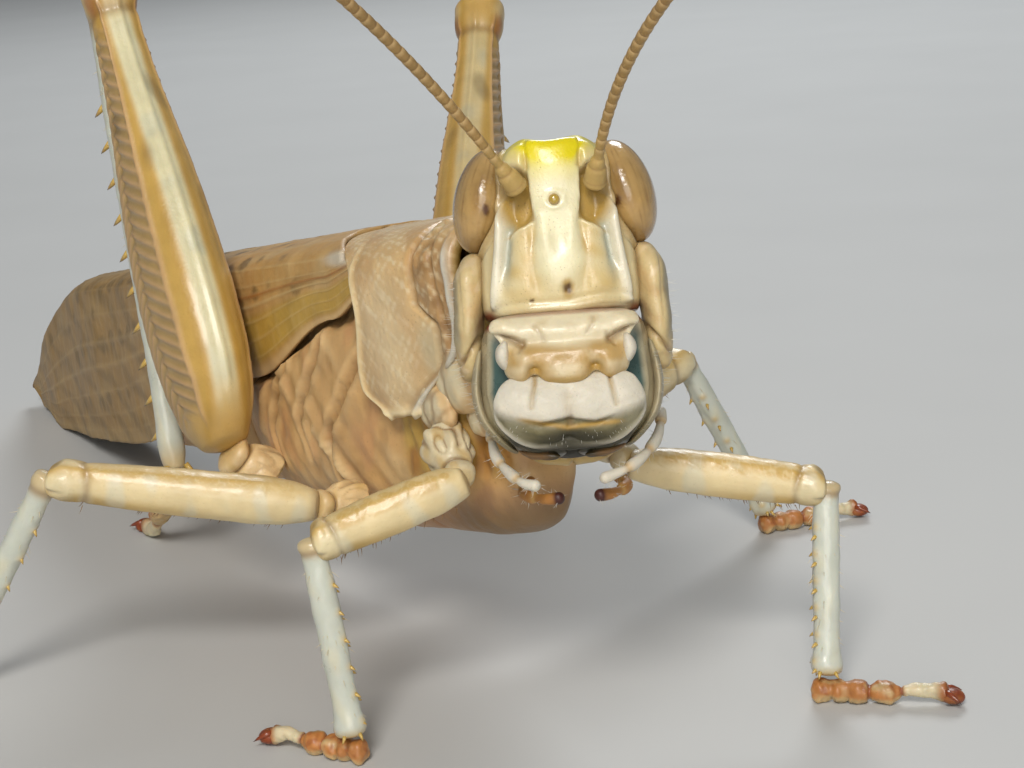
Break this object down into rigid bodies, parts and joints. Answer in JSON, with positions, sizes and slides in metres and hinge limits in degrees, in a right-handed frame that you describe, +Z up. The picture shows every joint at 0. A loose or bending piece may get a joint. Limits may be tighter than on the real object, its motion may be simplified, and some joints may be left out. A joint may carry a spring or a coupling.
{
  "type": "desert locust model",
  "caption": "Life-size still model of an adult desert locust standing with raised hind knees, folded wings and its head turned to one side.",
  "frame": {"origin": "on the floor under the middle of the model's box", "axes": "+Z up; the locust's trunk runs along Y with its head towards -Y, and +X is its left side"},
  "size_m": [0.0482, 0.0766, 0.0318],
  "materials": {
    "face_shell": "glossy cream shell, bright yellow at the crown, white ridges",
    "clypeus": "glossy cream shell with a tan lower band",
    "upper_lip": "glossy off-white shell, olive at the lower edge",
    "mandible": "glossy blue-grey shell, dark tips",
    "eye": "glossy brown with fine darker stripes",
    "antenna": "satin tan, ringed",
    "palp": "satin white",
    "lower_palp": "satin orange-brown with dark ends",
    "neck_skin": "soft folded yellow skin",
    "pronotum": "satin sand, finely pitted",
    "thorax": "satin pinkish sand with pale seams",
    "abdomen": "satin sand rings",
    "fore_wing": "satin, ochre front band, netted veins and brown spots",
    "hind_wing": "thin satin cream, pleated",
    "hip_shell": "satin cream and ochre",
    "walking_femur": "glossy cream mottled with ochre",
    "hind_femur": "glossy, cream stripe, ochre borders, herringbone flank",
    "shin": "glossy bluish white with yellow black-tipped spines",
    "foot": "satin orange-red pads and claws"
  },
  "bodies": {
    "root": {"head": "face_shell", "cheek_left": "face_shell", "cheek_right": "face_shell", "clypeus": "clypeus", "labrum": "upper_lip", "labium": "face_shell", "mandible_left": "mandible", "eye_left": "eye", "antenna_left": "antenna", "maxillary_palp_left": "palp", "labial_palp_left": "lower_palp", "mandible_right": "mandible", "eye_right": "eye", "antenna_right": "antenna", "maxillary_palp_right": "palp", "labial_palp_right": "lower_palp", "neck": "neck_skin", "pronotum": "pronotum", "prothorax": "thorax", "thorax": "thorax", "abdomen_front": "abdomen", "abdomen_middle": "abdomen", "abdomen_rear": "abdomen", "cercus_left": "abdomen", "tegmen_left": "fore_wing", "hind_wing_left": "hind_wing", "cercus_right": "abdomen", "tegmen_right": "fore_wing", "hind_wing_right": "hind_wing", "coxa_fore_left": "hip_shell", "femur_fore_left": "walking_femur", "tibia_fore_left": "shin", "tarsus_fore_left": "foot", "coxa_fore_right": "hip_shell", "femur_fore_right": "walking_femur", "tibia_fore_right": "shin", "tarsus_fore_right": "foot", "coxa_mid_left": "hip_shell", "femur_mid_left": "walking_femur", "tibia_mid_left": "shin", "tarsus_mid_left": "foot", "coxa_mid_right": "hip_shell", "femur_mid_right": "walking_femur", "tibia_mid_right": "shin", "tarsus_mid_right": "foot", "coxa_hind_left": "hip_shell", "femur_hind_left": "hind_femur", "tibia_hind_left": "shin", "tarsus_hind_left": "foot", "coxa_hind_right": "hip_shell", "femur_hind_right": "hind_femur", "tibia_hind_right": "shin", "tarsus_hind_right": "foot"}
  },
  "joints": []
}
